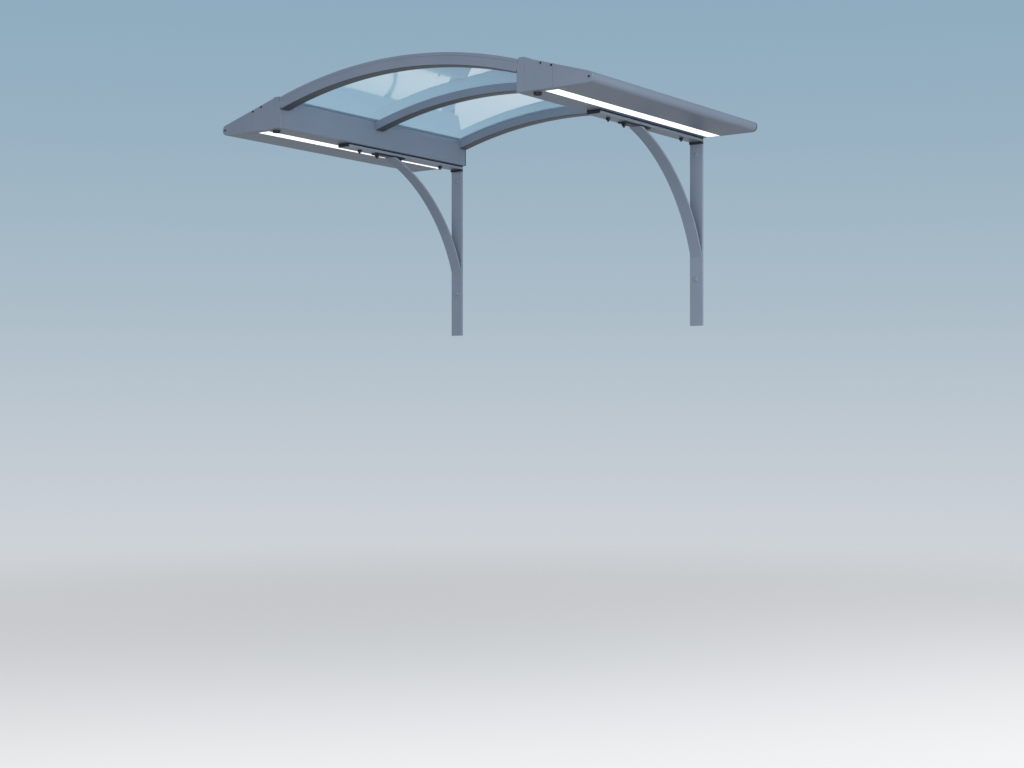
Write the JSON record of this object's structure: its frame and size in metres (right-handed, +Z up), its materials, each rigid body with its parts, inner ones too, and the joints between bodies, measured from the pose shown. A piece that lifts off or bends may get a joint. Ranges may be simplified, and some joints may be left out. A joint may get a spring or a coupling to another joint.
{
  "type": "door canopy",
  "caption": "Arched door canopy with a clear curved roof between two wide metal side profiles with lights and gutters, on bar brackets.",
  "frame": {"origin": "centre of the wall arch's back face, on the plane of the wall", "axes": "+X to the right as seen from the front, +Y into the wall, +Z up; the canopy reaches out towards -Y"},
  "size_m": [1.846, 1.2163, 1.0002],
  "materials": {
    "coated_aluminium": "satin metallic coat, roughness 0.42",
    "coated_bar": "satin metallic coat, roughness 0.40",
    "clear_sheet": "clear gloss plastic sheet",
    "grey_rubber": "matt",
    "black_rubber": "matt",
    "black_plastic": "matt moulded",
    "opal_plastic": "opal, lit from behind",
    "light_board": "white board with light chips",
    "dark_steel": "blackened steel"
  },
  "bodies": {
    "root": {"front_arch": "coated_aluminium", "middle_arch": "coated_aluminium", "wall_arch": "coated_aluminium", "front_arch_strip": "black_plastic", "middle_arch_strip": "black_plastic", "wall_arch_strip": "black_plastic", "glazing_sheet": "clear_sheet", "glazing_gasket": "grey_rubber", "front_cover_strip": "coated_aluminium", "wall_cover_strip": "coated_aluminium", "wall_seal": "black_rubber", "side_profile_left": "coated_aluminium", "side_profile_right": "coated_aluminium", "front_end_cap_left": "coated_aluminium", "front_end_cap_right": "coated_aluminium", "front_arch_angle_left": "coated_aluminium", "front_arch_angle_right": "coated_aluminium", "middle_arch_angle_left": "coated_aluminium", "middle_arch_angle_right": "coated_aluminium", "bracket_rail_left": "coated_bar", "bracket_rail_right": "coated_bar", "brace_left": "coated_bar", "brace_right": "coated_bar", "wall_post_left": "coated_bar", "wall_post_right": "coated_bar", "wall_screw_upper_left": "coated_bar", "wall_screw_upper_right": "coated_bar", "wall_screw_lower_left": "coated_bar", "wall_screw_lower_right": "coated_bar", "rear_end_cap_left": "black_plastic", "rear_end_cap_right": "black_plastic", "drain_outlet_left": "black_plastic", "drain_outlet_right": "black_plastic", "rail_end_cap_left": "black_plastic", "rail_end_cap_right": "black_plastic", "brace_plate_left": "black_plastic", "brace_plate_right": "black_plastic", "post_top_block_left": "black_plastic", "post_top_block_right": "black_plastic", "rail_pad_left": "black_rubber", "rail_pad_right": "black_rubber", "diffuser_left": "opal_plastic", "diffuser_right": "opal_plastic", "light_board_left": "light_board", "light_board_right": "light_board", "cap_screw_inner_left": "dark_steel", "cap_screw_inner_right": "dark_steel", "cap_screw_outer_left": "dark_steel", "cap_screw_outer_right": "dark_steel", "cap_screw_nose_left": "dark_steel", "cap_screw_nose_right": "dark_steel", "rail_bolt_front_left": "dark_steel", "rail_bolt_front_right": "dark_steel", "rail_bolt_rear_left": "dark_steel", "rail_bolt_rear_right": "dark_steel", "brace_bolt_front_left": "dark_steel", "brace_bolt_front_right": "dark_steel", "brace_bolt_rear_left": "dark_steel", "brace_bolt_rear_right": "dark_steel"}
  },
  "joints": []
}
